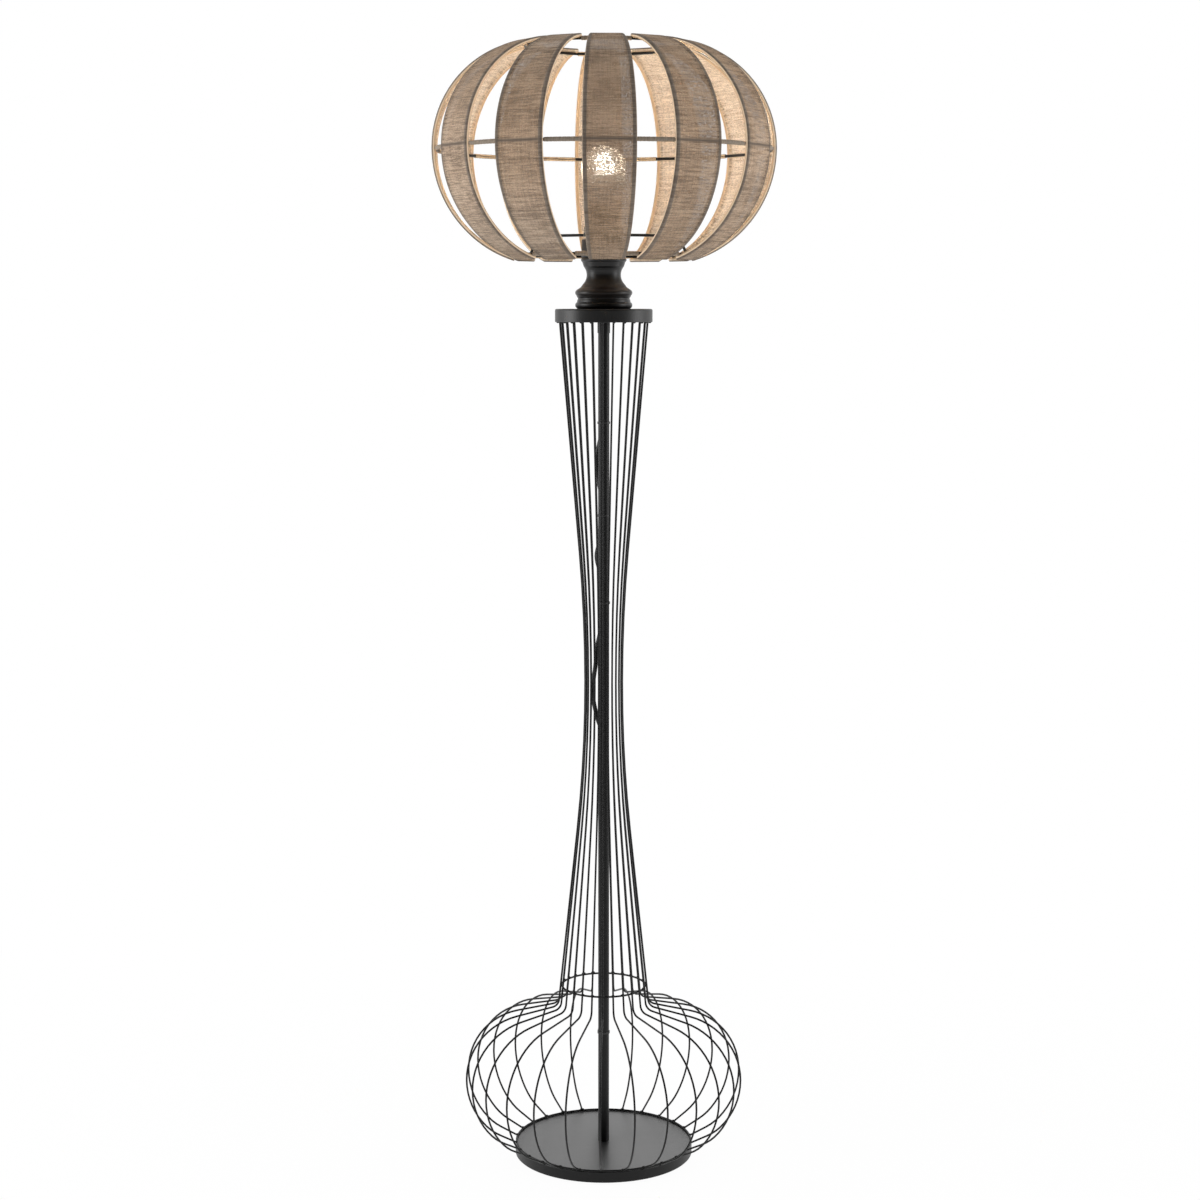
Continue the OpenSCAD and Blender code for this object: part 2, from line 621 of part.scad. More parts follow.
// A smooth curve through the points, cut into even steps of the list's own length
function curve(p, i, t) = let (a = p[max(i - 1, 0)], b = p[i], c = p[i + 1], d = p[min(i + 2, len(p) - 1)])
    b + t / 2 * (c - a + t * (2 * a - 5 * b + 4 * c - d + t * (3 * b - a - 3 * c + d)));
function steps(p, long) = [for (i = [0 : len(p) - 2]) max(1, round(norm(p[i + 1] - p[i]) / long))];
function smooth(p, long) = let (n = steps(p, long)) concat(
    [for (i = [0 : len(p) - 2], k = [0 : n[i] - 1]) curve(p, i, k / n[i])], [p[len(p) - 1]]);
function unit(v) = v / norm(v);

// A tube along points that never runs along X, closed at both ends
module sweep(p, r, sides) {
    n = len(p);
    way = [for (i = [0 : n - 1]) unit(p[min(i + 1, n - 1)] - p[max(i - 1, 0)])];
    side = [for (w = way) unit([1, 0, 0] - w.x * w)];
    rings = [for (i = [0 : n - 1], k = [0 : sides - 1]) let (a = (k + 0.5) * 360 / sides)
        p[i] + r * (cos(a) * side[i] + sin(a) * cross(way[i], side[i]))];
    walls = [for (i = [0 : n - 2], k = [0 : sides - 1])
        let (a = i * sides + k, b = i * sides + (k + 1) % sides)
        each [[a, b + sides, b], [a, a + sides, b + sides]]];
    polyhedron(rings, concat(walls, [[for (k = [0 : sides - 1]) k]],
        [[for (k = [sides - 1 : -1 : 0]) (n - 1) * sides + k]]));
}

module inner_wires() color("brown") for (x = [-1.4, 1.4])
    sweep([for (p = smooth(wire_route, 8)) p + [x, 0, 0]], 1.2, 6);

module lead_upper() color([0.06, 0.06, 0.06]) sweep(smooth(upper_route, 15), lead_r, 8);

module lead_lower() color([0.06, 0.06, 0.06]) sweep(smooth(lower_route, 15), lead_r, 8);

module lead_tail() color([0.06, 0.06, 0.06]) sweep(smooth(tail_route, 8), lead_r, 8);

// The hank spirals in through one layer and out again through the other, with the climb on a run
function hank_w(u) = hank_half + hank_step * abs(u - hank_turns / 2 - 2.5 / 24);
function climb(u) = let (s = min(max((u - hank_turns / 2) * 24 / 5, 0), 1)) -hank_x * cos(180 * s);
function drawn(s) = hank_pull * (1 - cos(360 * s)) / 2;
hank_y = lower_route[len(lower_route) - 1].y + hank_w(0);
function hank_at(u) = let (t = (u - floor(u)) * 24, w = hank_w(u), x = climb(u), top = hank_z + hank_run)
    t < 5 ? [x, hank_y - w + drawn(t / 5), top - hank_run * t / 5]
    : t < 12 ? let (a = (t - 5) * 180 / 7) [x, hank_y - w * cos(a), hank_z - w * sin(a)]
    : t < 17 ? [x, hank_y + w - drawn((t - 12) / 5), hank_z + hank_run * (t - 12) / 5]
    : let (a = (t - 17) * 180 / 7) [x, hank_y + w * cos(a), top + w * sin(a)];
hank_points = concat([hank_at(0) + [0, 0, hank_lead_in]],
    [for (i = [0 : hank_last * 24 + 0.01]) hank_at(i / 24)], [hank_at(hank_last) + [0, 0, hank_lead_in]]);
hank_gap = min([for (i = [0 : len(hank_points) - 1], j = [i + 8 : 1 : len(hank_points) - 2])
    let (a = hank_points[j], b = hank_points[j + 1] - a, p = hank_points[i],
        t = min(max((p - a) * b / (b * b), 0), 1)) norm(p - a - t * b)]) - 2 * lead_r;

module lead_hank() color([0.06, 0.06, 0.06]) {
    echo(hank_gap = hank_gap);
    sweep(hank_points, lead_r, 6);
}

module band_tie(points, inner) linear_extrude(tie_h) difference() {
    polygon(points);
    polygon(inner);
}

module pole_tie(d) band_tie(belt(pole_r + pin_gap + tie_t, lead_r + pin_gap + tie_t, d),
    belt(pole_r + pin_gap, lead_r + pin_gap, d));

// Ties hold the lead to the pole where it runs straight behind it
module lead_ties() color("black") {
    for (z = tie_heights) translate([0, 0, z - tie_h / 2]) pole_tie(tie_y);
    translate([0, 0, low_tie_z]) rotate([0, 0, atan(hank_x / low_tie_y)])
        pole_tie(norm([hank_x, low_tie_y]));
}

module hank_tie() color("black") translate([0, hank_y, hank_z + hank_run / 2 - 2]) {
    x = 2 * (hank_x + lead_r + 0.3);
    y = 2 * (hank_w(0) - hank_pull + lead_r + 0.6);
    linear_extrude(4) difference() {
        polygon(box_outline(x + 2 * tie_t, y + 2 * tie_t, 4));
        polygon(box_outline(x, y, 3));
    }
}

/* Switch and plug */

// A slab in the plane of the lead, from one depth to another
module slab(from, to, w, l, r) translate([from, switch_y, switch_z]) rotate([90, 0, 90])
    linear_extrude(to - from) polygon(box_outline(w, l, r));

module switch_base() color([0.06, 0.06, 0.06]) difference() {
    slab(-switch_back, 0, switch_w, switch_l, 6);
    slab(switch_wall - switch_back, 1, switch_w - 2 * switch_wall, switch_l - 2 * switch_wall, 4.5);
}

// The cover has a window for the rocker and two lugs for its pins
module switch_cover() color([0.06, 0.06, 0.06]) difference() {
    union() {
        difference() {
            slab(0, switch_front, switch_w, switch_l, 6);
            slab(-1, switch_front - switch_wall, switch_w - 2 * switch_wall, switch_l - 2 * switch_wall, 4.5);
        }
        for (s = [-1, 1]) translate([rocker_x - 1.9, switch_y + s * (rocker_w / 2 + 1.4), switch_z])
            translate([0, -1.1, -2.5]) cube([switch_front - rocker_x + 1, 2.2, 5]);
    }
    slab(-1, switch_front + 1, rocker_w + 0.6, rocker_l + 1.2, 0.6);
    translate([rocker_x, switch_y + 10, switch_z]) rotate([90, 0, 0])
        cylinder(r = rocker_pin + pin_gap, h = 20, $fn = 32);
}

module switch_rocker() color([0.2, 0.2, 0.2]) translate([rocker_x, switch_y, switch_z])
    rotate([0, rocker_a, 0]) rotate([90, 0, 0]) {
        linear_extrude(rocker_w, center = true) polygon([[-3, -4], [-3, 4], [1.6, rocker_l / 2],
            [3.6, rocker_l / 2], [3.2, rocker_l / 4], [3, 0], [3.2, -rocker_l / 4], [3.6, -rocker_l / 2],
            [1.6, -rocker_l / 2]]);
        translate([0, 0, -rocker_w / 2 - 2.3]) cylinder(r = rocker_pin, h = rocker_w + 4.6, $fn = 32);
    }

module plug_body() color([0.06, 0.06, 0.06]) difference() {
    translate([0, plug_y, plug_z]) {
        rotate([90, 0, 90]) translate([0, 0, -plug_t / 2]) linear_extrude(plug_t) polygon([
            [-plug_w / 2, 0], [plug_w / 2, 0], [plug_w / 2, 9], [10, plug_h - 4], [6, plug_h],
            [-6, plug_h], [-10, plug_h - 4], [-plug_w / 2, 9]]);
        for (i = [0 : 2]) translate([0, 0, plug_h + 4 * i]) cylinder(r = 5.2 - 0.5 * i, h = 3);
        cylinder(r = 3.6, h = plug_h + boot_h);
    }
    for (s = [-1, 1]) translate([s * (plug_t / 2 + 6), plug_y, plug_z + 4]) cylinder(r = 7.5, h = 20);
}

module plug_pins() color("silver") for (s = [-1, 1]) translate([0, plug_y + s * pin_pitch / 2, plug_z])
    mirror([0, 0, 1]) {
        cylinder(r = pin_r, h = pin_l - 1.5, $fn = 32);
        translate([0, 0, pin_l - 1.5]) cylinder(r1 = pin_r, r2 = 1.1, h = 1.5, $fn = 32);
    }

felt_pads();
base_plate();
base_washer();
base_nut();
foot_stud();
foot_bush();
pole();
pole_collar();
top_bush();
foot_ring();
inner_ring();
cage_rods();
rod_plate();
plate_nut();
lead_grommet();
cap();
threaded_tube();
turned_neck();
holder_cup();
cup_nut();
holder_base();
holder_insert();
holder_contact();
holder_shell();
holder_skirt();
bulb_contact();
bulb_cap();
bulb_body();
bulb_board();
bulb_dome();
shade_spider();
shade_lock_ring();
bottom_ring();
middle_ring();
top_ring();
shade_ribs();
shade_strips();
ring_tapes();
inner_wires();
lead_upper();
lead_ties();
switch_base();
switch_cover();
switch_rocker();
lead_lower();
lead_hank();
hank_tie();
lead_tail();
plug_body();
plug_pins();
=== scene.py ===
import json
import math
import random

import bmesh
import bpy
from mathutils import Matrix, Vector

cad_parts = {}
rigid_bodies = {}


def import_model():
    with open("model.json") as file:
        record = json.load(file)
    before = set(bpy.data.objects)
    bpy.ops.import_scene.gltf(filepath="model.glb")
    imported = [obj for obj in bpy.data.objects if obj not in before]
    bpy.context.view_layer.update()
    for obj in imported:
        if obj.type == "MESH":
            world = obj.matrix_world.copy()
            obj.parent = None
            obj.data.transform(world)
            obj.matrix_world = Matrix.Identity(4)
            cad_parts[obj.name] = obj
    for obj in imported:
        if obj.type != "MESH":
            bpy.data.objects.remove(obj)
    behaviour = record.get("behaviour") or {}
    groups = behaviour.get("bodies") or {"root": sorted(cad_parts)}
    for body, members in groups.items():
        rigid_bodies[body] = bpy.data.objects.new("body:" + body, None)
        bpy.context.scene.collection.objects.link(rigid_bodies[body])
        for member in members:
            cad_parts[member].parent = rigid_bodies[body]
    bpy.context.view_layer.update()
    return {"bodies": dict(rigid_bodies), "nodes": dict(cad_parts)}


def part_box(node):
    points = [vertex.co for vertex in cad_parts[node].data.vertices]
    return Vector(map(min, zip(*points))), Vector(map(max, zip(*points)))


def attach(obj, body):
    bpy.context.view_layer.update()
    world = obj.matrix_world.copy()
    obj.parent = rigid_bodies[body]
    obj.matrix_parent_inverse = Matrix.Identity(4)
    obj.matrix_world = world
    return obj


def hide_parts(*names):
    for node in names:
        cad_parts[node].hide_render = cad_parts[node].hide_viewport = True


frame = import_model()
MM = 0.001


# Camera and room
# The lamp stands on a white floor in a white room with a soft light at each side.
# Glossy rays see the white behind the lamp and a dark front, so the black paint stays dark towards the camera.
class Wire:
    """A socket of a node tree. Sums on it add Math nodes, and node() adds any other node."""

    def __init__(self, tree, socket=None):
        self.tree = tree
        self.socket = socket

    def node(self, kind, inputs=None, out=0, **settings):
        made = self.tree.nodes.new("ShaderNode" + kind)
        for name, value in settings.items():
            setattr(made, name, value)
        for name, value in (inputs or {}).items():
            if isinstance(value, Wire):
                self.tree.links.new(value.socket, made.inputs[name])
            else:
                made.inputs[name].default_value = value
        return Wire(self.tree, made.outputs[out])

    def sum(self, operation, *values):
        return self.node("Math", dict(enumerate(values)), operation=operation)

    def __add__(self, other):
        return self.sum("ADD", self, other)

    def __sub__(self, other):
        return self.sum("SUBTRACT", self, other)

    def __rsub__(self, other):
        return self.sum("SUBTRACT", other, self)

    def __mul__(self, other):
        return self.sum("MULTIPLY", self, other)

    __radd__ = __add__
    __rmul__ = __mul__

    def mix(self, low, high):
        """The colour low where this socket is 0 and high where it is 1."""
        colours = [c if isinstance(c, Wire) else (*c, 1) for c in (low, high)]
        return self.node("Mix", {0: self, 6: colours[0], 7: colours[1]}, 2, data_type="RGBA")

    def scaled(self, low, high, start=0.0, end=1.0, smooth=False):
        """This value's place between low and high as a value from start to end."""
        way = "SMOOTHSTEP" if smooth else "LINEAR"
        return self.node("MapRange", {0: self, 1: low, 2: high, 3: start, 4: end}, interpolation_type=way)

    def rays(self, *kinds):
        """1 for each named kind of ray."""
        found = [self.node("LightPath", out="Is %s Ray" % kind) for kind in kinds]
        while len(found) > 1:
            found.append(self.sum("MAXIMUM", found.pop(), found.pop()))
        return found[0]

    def place(self):
        """The point in the piece's own metres."""
        return self.node("TexCoord", out="Object")

    def axis(self, number):
        """One coordinate of this place."""
        return self.node("SeparateXYZ", {0: self}, number)

    def noise(self, scale, detail, **more):
        """Noise at this place."""
        return self.node("TexNoise", {"Vector": self, "Scale": scale, "Detail": detail, **more})

    def bump(self, strength, distance):
        """The normal of a surface with this height on it."""
        return self.node("Bump", {"Strength": strength, "Distance": distance, "Height": self})

    def surface(self, colour, roughness, **more):
        inputs = {"Base Color": colour, "Roughness": roughness}
        inputs.update({name.replace("_", " "): value for name, value in more.items()})
        return self.node("BsdfPrincipled", inputs)


def new_tree(block):
    block.use_nodes = True
    block.node_tree.nodes.clear()
    return Wire(block.node_tree)


def new_material(name, build):
    """A material with the shader that build returns."""
    made = bpy.data.materials.new(name)
    wire = new_tree(made)
    out = wire.tree.nodes.new("ShaderNodeOutputMaterial")
    wire.tree.links.new(build(wire).socket, out.inputs["Surface"])
    return made


def put(name, data):
    """A new object in the scene."""
    made = bpy.data.objects.new(name, data)
    bpy.context.scene.collection.objects.link(made)
    return made


camera = put("camera", bpy.data.cameras.new("camera"))
camera.data.sensor_width = 36
camera.data.lens = 70.53
camera.location = (-0.005, -3.139, 1.176)
camera.rotation_euler = (math.radians(82.66), 0, 0)
bpy.context.scene.camera = camera
bpy.context.scene.view_settings.view_transform = "Standard"

bpy.context.scene.world = bpy.data.worlds.new("room")
room = new_tree(bpy.context.scene.world)
way = room.node("TexCoord").axis(1)
level = way.scaled(-0.9, 0.5, 0.30, 1.0, smooth=True)
dark_front = way.scaled(-0.6, 0.4, 0.02, 1.0, smooth=True)
mirrored = room.rays("Glossy")
strength = room.sum("MAXIMUM", level * (1 - mirrored) + dark_front * mirrored, room.rays("Camera", "Transmission"))
white = room.node("Background", {"Color": (1, 1, 1, 1), "Strength": strength})
room.tree.links.new(white.socket, room.tree.nodes.new("ShaderNodeOutputWorld").inputs["Surface"])


def floor_paint(w):
    """White to the rays that show the background, with a little of the lamp's shadow near it."""
    far = w.place().axis(1).scaled(0.1, 1.0, 0.965, 1.0, smooth=True)
    share = w.rays("Camera", "Glossy", "Transmission") * far
    glow = w.node("Emission", {"Color": (1, 1, 1, 1), "Strength": 1.0})
    return w.node("MixShader", {0: share, 1: w.surface((0.9, 0.9, 0.9, 1), 0.7), 2: glow})


FLOOR_HALF = 9
floor_mesh = bpy.data.meshes.new("floor")
floor_mesh.from_pydata([(x * FLOOR_HALF, y * FLOOR_HALF, 0) for x, y in ((-1, -1), (1, -1), (1, 1), (-1, 1))], [],
    [(0, 1, 2, 3)])
floor_mesh.materials.append(new_material("white floor", floor_paint))
put("floor", floor_mesh)

for side, energy in ((-1, 34), (1, 24)):
    lamp = bpy.data.lights.new("side light", "AREA")
    lamp.shape = "RECTANGLE"
    lamp.size, lamp.size_y = 1.2, 2.2
    lamp.energy = energy
    light = put("side light", lamp)
    light.location = (side * 2.4, -0.2, 1.3)
    light.rotation_euler = (math.radians(90), 0, side * math.radians(90))


# Mains lead
# A 6 mm PVC lead of 2.4 m comes out of the grommet under the cap and runs down behind the pole.
# It passes the switch, and its spare length hangs as a hank behind the pole, with the plug beside it.
def moulded(colour, roughness, grain):
    """Moulded or sheathed plastic with a fine grain."""

    def build(w):
        cloud = w.place().noise(25.0, 3.0)
        normal = w.place().noise(grain, 2.0).bump(0.2, 0.0002)
        return w.surface(cloud.mix([c * 0.8 for c in colour], colour), cloud * 0.14 + roughness, Normal=normal)

    return build


def curve_through(points, step):
    """A smooth curve through the points of the lead's route, in even steps."""
    line = []
    for i in range(len(points) - 1):
        a, b, c = points[max(i - 1, 0)], points[i], points[i + 1]
        d = points[min(i + 2, len(points) - 1)]
        n = max(1, round(math.dist(b, c) / step))
        for k in range(n):
            t = k / n
            line.append([q + t / 2 * (r - p + t * (2 * p - 5 * q + 4 * r - s + t * (3 * q - p - 3 * r + s)))
                for p, q, r, s in zip(a, b, c, d)])
    return line + [list(points[-1])]


LEAD_R, ROUTE_STEP, SWITCH_MIDDLE = 3, 4, (0, 22.5, 370)
upper_route = [(0, 14.2, 1140), (0, 14.2, 1128), (0, 12, 1090), (1, 11, 1050), (0, 11, 1010),
    (-9.5, 10.5, 957), (-2, 11, 905), (0, 11, 886), (-2, 11, 860), (-9.5, 10.5, 830), (-2, 11, 798),
    (0, 11, 768), (-2, 11, 740), (-9, 10.5, 706), (-11, 10, 682), (-15, 9, 645), (-9, 11, 610),
    (0, 12, 580), (2, 15, 530), (0, 20, 470), (0, 22.5, 430), (0, 22.5, 412), (0, 22.5, 406)]
lower_route = [(0, 22.5, 334), (0, 22.5, 328), (0, 22, 310), (-2, 18, 270), (-3.3, 14.5, 225),
    (-3.3, 14, 190), (-3.3, 14, 154), (-3.3, 14, 148)]
tail_route = [(3.3, 76, 148), (3.3, 76, 154), (3.3, 76, 162), (3, 81, 175), (2, 94, 180), (1, 107, 175),
    (0, 112, 162), (0, 112, 146), (0, 112, 140)]

# A turn of the hank has 24 parts: 5 down, 7 round the lower bend, 5 up and 7 round the upper bend.
TURN, RUN, BEND, FINE_TURN = 24, 5, 7, 72
HANK_TURNS, HANK_HALF, HANK_STEP, HANK_RUN, HANK_PULL = 4, 18, 7, 90, 11
HANK_X, HANK_Z = 3.3, 52
HANK_LAST = HANK_TURNS - 0.5 + RUN / TURN


def hank_width(u):
    return HANK_HALF + HANK_STEP * abs(u - HANK_TURNS / 2 - RUN / TURN / 2)


HANK_Y = 14 + hank_width(0)


def hank_point(u):
    """The point u turns along the hank, whose loops run in through one layer and out again through the other."""
    t, w, top = (u - math.floor(u)) * TURN, hank_width(u), HANK_Z + HANK_RUN
    x = -HANK_X * math.cos(math.pi * min(max((u - HANK_TURNS / 2) * TURN / RUN, 0), 1))

    def drawn(s):
        return HANK_PULL * (1 - math.cos(2 * math.pi * s)) / 2

    if t < RUN:
        return x, HANK_Y - w + drawn(t / RUN), top - HANK_RUN * t / RUN
    t -= RUN
    if t < BEND:
        a = t * math.pi / BEND
        return x, HANK_Y - w * math.cos(a), HANK_Z - w * math.sin(a)
    t -= BEND
    if t < RUN:
        return x, HANK_Y + w - drawn(t / RUN), HANK_Z + HANK_RUN * t / RUN
    a = (t - RUN) * math.pi / BEND
    return x, HANK_Y + w * math.cos(a), top + w * math.sin(a)


hank_line = [hank_point(i / FINE_TURN) for i in range(int(HANK_LAST * FINE_TURN + 0.01) + 1)]
lead_line = [*curve_through(upper_route, ROUTE_STEP), SWITCH_MIDDLE, *curve_through(lower_route, ROUTE_STEP),
    *hank_line, *curve_through(tail_route, ROUTE_STEP)]
lead_curve = bpy.data.curves.new("lead", "CURVE")
lead_curve.dimensions = "3D"
lead_curve.bevel_depth = LEAD_R * MM
lead_curve.bevel_resolution = 4
lead_curve.use_fill_caps = True
spline = lead_curve.splines.new("POLY")
spline.points.add(len(lead_line) - 1)
for point, spot in zip(spline.points, lead_line):
    point.co = (*[v * MM for v in spot], 1)
spline.use_smooth = True
lead_curve.materials.append(new_material("black lead sheath", moulded((0.006, 0.006, 0.006), 0.4, 700.0)))
lead = put("lead", lead_curve)
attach(lead, "lamp")
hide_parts("lead_upper", "lead_lower", "lead_hank", "lead_tail")


def dress(names, material):
    """Gives CAD nodes their finish."""
    for name in names.split():
        node = frame["nodes"][name]
        node.data.materials.clear()
        node.data.materials.append(material)


def circle(centre, radius, count):
    """Points round a vertical axis, in metres. The radius is one number or one for each point."""
    x, y, z = centre
    radii = radius if isinstance(radius, list) else [radius] * count
    turns = [2 * math.pi * k / count for k in range(count)]
    return [((x + r * math.cos(a)) * MM, (y + r * math.sin(a)) * MM, z * MM) for r, a in zip(radii, turns)]


def skin(base, rows, count, round_again=False):
    """Faces between rows of count points, the first of them the point base."""
    faces = []
    for i in range(rows if round_again else rows - 1):
        a, b = base + i * count, base + (i + 1) % rows * count
        faces += [(a + k, a + (k + 1) % count, b + (k + 1) % count, b + k) for k in range(count)]
    return faces


def ends(base, rows, count):
    """The two faces that close the first and the last row."""
    last = base + (rows - 1) * count
    return [tuple(range(base, base + count)), tuple(range(last + count - 1, last - 1, -1))]


def add_mesh(name, verts, faces, material):
    """A smooth mesh piece with its outside turned out."""
    mesh = bpy.data.meshes.new(name)
    mesh.from_pydata(verts, [], faces)
    mesh.update()
    work = bmesh.new()
    work.from_mesh(mesh)
    bmesh.ops.recalc_face_normals(work, faces=work.faces)
    work.to_mesh(mesh)
    work.free()
    mesh.materials.append(material)
    mesh.shade_smooth()
    return put(name, mesh)


RELIEF_AROUND, RELIEF_FINE, GROOVE_DEPTH = 24, 6, 0.35


def relief(name, start, end, r_wide, r_slim, grooves, material):
    """A tapered sleeve round the lead, from its point nearest to start to the one nearest to end."""
    a, b = [min(range(len(lead_line)), key=lambda i: math.dist(lead_line[i], spot)) for spot in (start, end)]
    path = lead_line[a:b + 1] if b > a else lead_line[b:a + 1][::-1]
    fine = [[p + (q - p) * k / RELIEF_FINE for p, q in zip(path[i], path[i + 1])]
        for i in range(len(path) - 1) for k in range(RELIEF_FINE)]
    fine.append(list(path[-1]))
    verts = []
    for i, centre in enumerate(fine):
        share = i / (len(fine) - 1)
        grooved = grooves and 0.15 < share < 0.9 and (share * grooves) % 1 > 0.6
        r = r_wide + (r_slim - r_wide) * share ** 0.8 - (GROOVE_DEPTH if grooved else 0)
        verts += circle(centre, r, RELIEF_AROUND)
    verts += circle(fine[-1], LEAD_R + 0.02, RELIEF_AROUND)
    rows = len(fine) + 1
    made = add_mesh(name, verts, skin(0, rows, RELIEF_AROUND) + ends(0, rows, RELIEF_AROUND), material)
    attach(made, "lamp")
    return made


soft_black = new_material("soft black relief", moulded((0.012, 0.012, 0.012), 0.5, 900.0))
reliefs = [
    relief("relief_grommet", (0, 14.2, 1140.5), (0, 14.2, 1117), 4.6, 3.5, 0, soft_black),
    relief("relief_switch_top", (0, 22.5, 406.5), (0, 22.5, 430), 4.9, 3.5, 5, soft_black),
    relief("relief_switch_low", (0, 22.5, 333.5), (0, 22.5, 311), 4.9, 3.5, 5, soft_black),
    relief("relief_plug", (0, 112, 140), (0, 112, 161), 4.2, 3.5, 4, soft_black),
]
dress("lead_grommet", new_material("soft black grommet", moulded((0.02, 0.02, 0.02), 0.55, 900.0)))
dress("switch_base switch_cover plug_body",
    new_material("black switch plastic", moulded((0.018, 0.018, 0.018), 0.42, 1500.0)))
dress("switch_rocker", new_material("grey-black rocker plastic", moulded((0.03, 0.03, 0.03), 0.3, 1500.0)))
dress("lead_ties hank_tie", new_material("nylon tie", moulded((0.012, 0.012, 0.012), 0.33, 400.0)))


# Base
# A round steel plate with a turned edge, 15 mm thick, in satin black lacquer, on felt pads.
# The pole's threaded stud goes through it to a nut in a recess underneath.
def lacquer(colour, roughness, grain, depth, gloss):
    """Sprayed paint on metal, with the fine orange peel of its surface."""

    def build(w):
        cloud = w.place().noise(9.0, 4.0)
        normal = w.place().noise(grain, 1.5).bump(depth, 0.0004)
        return w.surface(cloud.mix([c * 0.85 for c in colour], colour), cloud * 0.1 + roughness,
            Specular_IOR_Level=gloss, Normal=normal)

    return build


def metal(colour, roughness, grain):
    """Bare or plated metal with fine turning marks."""

    def build(w):
        lines = w.node("Mapping", {"Vector": w.place(), "Scale": (60.0, 60.0, grain)}).noise(1.0, 3.0)
        return w.surface(lines.mix([c * 0.8 for c in colour], colour), lines * 0.2 + roughness, Metallic=1.0,
            Normal=lines.bump(0.15, 0.0002))

    return build


def felt(w):
    hairs = w.place().noise(1400.0, 4.0, Distortion=2.0)
    return w.surface(hairs.mix((0.02, 0.02, 0.02), (0.07, 0.07, 0.07)), 0.95, Sheen_Weight=0.4,
        Normal=hairs.bump(0.6, 0.0006))


def plate_lacquer(w):
    """Satin black lacquer, rubbed a little brighter along the top and left duller down the rim."""
    top = w.place().axis(2).scaled(0.0150, 0.0163)
    cloud = w.place().noise(7.0, 4.0)
    dust = w.place().noise(60.0, 5.0, Roughness=0.7).scaled(0.55, 0.8)
    normal = w.place().noise(500.0, 1.5).bump(0.05, 0.0004)
    return w.surface(dust.mix((0.008, 0.008, 0.008), (0.022, 0.022, 0.022)), cloud * 0.12 + 0.36,
        Specular_IOR_Level=0.25, Coat_Weight=top * (cloud * 0.5 + 0.75), Coat_Roughness=0.33, Normal=normal)


dress("base_plate", new_material("satin black lacquer", plate_lacquer))

PADS, PAD_R, PAD_T, PAD_RING, PAD_AROUND = 4, 11, 1.5, 100, 72
PAD_EDGE = [(0.97, 0.0), (1.0, 0.25), (1.012, 0.75), (1.0, 1.25), (0.97, PAD_T)]
verts, faces = [], []
fray = random.Random(3)
for number in range(PADS):
    turn, base = math.radians(45 + 360 / PADS * number), len(verts)
    edge = [PAD_R - 0.25 + fray.uniform(-0.12, 0.12) for _ in range(PAD_AROUND)]
    for share, z in PAD_EDGE:
        verts += circle((PAD_RING * math.cos(turn), PAD_RING * math.sin(turn), z), [r * share for r in edge],
            PAD_AROUND)
    faces += skin(base, len(PAD_EDGE), PAD_AROUND) + ends(base, len(PAD_EDGE), PAD_AROUND)
pads = add_mesh("felt_discs", verts, faces, new_material("dark felt", felt))
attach(pads, "lamp")
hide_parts("felt_pads")

zinc = new_material("zinc plate", metal((0.62, 0.62, 0.6), 0.25, 900.0))
brass = new_material("turned brass", metal((0.72, 0.52, 0.24), 0.22, 900.0))
dress("base_washer base_nut foot_bush top_bush plate_nut cup_nut", zinc)
dress("foot_stud threaded_tube", brass)


# Pole and cage
# A 15 mm steel tube carries the lamp, and 26 rods of 2.6 mm are bent over a form and welded to a ring on the base,
# to a ring at the throat and to the plate under the cap. All of it is powder coated black as one piece.
powder = new_material("black powder coat", lacquer((0.003, 0.003, 0.003), 0.34, 1100.0, 0.12, 0.3))
dress("pole pole_collar foot_ring inner_ring cage_rods rod_plate", powder)

ROD_COUNT, ROD_TURN, ROD_DRIFT, BEAD_R = 26, -1.5, 2.4, 2.0
# The radius and height of each ring of beads, and a bead's size along and across the radius and upwards.
BEAD_RINGS = ((121.2, 19.0, (1.0, 1.5, 0.75)), (58.2, 239.2, (0.9, 1.4, 0.8)), (61.3, 1143.0, (1.05, 1.05, 0.6)))


def group_tree(name, sockets, build):
    """A geometry node group with named inputs."""
    tree = bpy.data.node_groups.new(name, "GeometryNodeTree")
    tree.interface.new_socket("Geometry", in_out="INPUT", socket_type="NodeSocketGeometry")
    ids = {}
    for label, kind in sockets:
        ids[label] = tree.interface.new_socket(label, in_out="INPUT", socket_type="NodeSocket" + kind).identifier
    tree.interface.new_socket("Geometry", in_out="OUTPUT", socket_type="NodeSocketGeometry")
    start, end = tree.nodes.new("NodeGroupInput"), tree.nodes.new("NodeGroupOutput")
    build(tree, start, end)
    return tree, ids


def weld_nodes(tree, start, end):
    """A bead on every point, turned and sized by the points' own attributes."""

    def node(kind, **inputs):
        made = tree.nodes.new("GeometryNode" + kind)
        for key, value in inputs.items():
            tree.links.new(value, made.inputs[key.replace("_", " ")])
        return made

    bead = node("MeshUVSphere", Radius=start.outputs["Bead radius"])
    bead.inputs["Segments"].default_value, bead.inputs["Rings"].default_value = 12, 8
    attributes = []
    for label in ("turn", "size"):
        read = node("InputNamedAttribute")
        read.data_type = "FLOAT_VECTOR"
        read.inputs["Name"].default_value = label
        attributes.append(read.outputs["Attribute"])
    turned = tree.nodes.new("FunctionNodeEulerToRotation")
    tree.links.new(attributes[0], turned.inputs[0])
    placed = node("InstanceOnPoints", Points=start.outputs["Geometry"], Instance=bead.outputs["Mesh"],
        Rotation=turned.outputs[0], Scale=attributes[1])
    real = node("RealizeInstances", Geometry=placed.outputs[0])
    painted = node("SetMaterial", Geometry=real.outputs[0], Material=start.outputs["Material"])
    tree.links.new(painted.outputs[0], end.inputs[0])


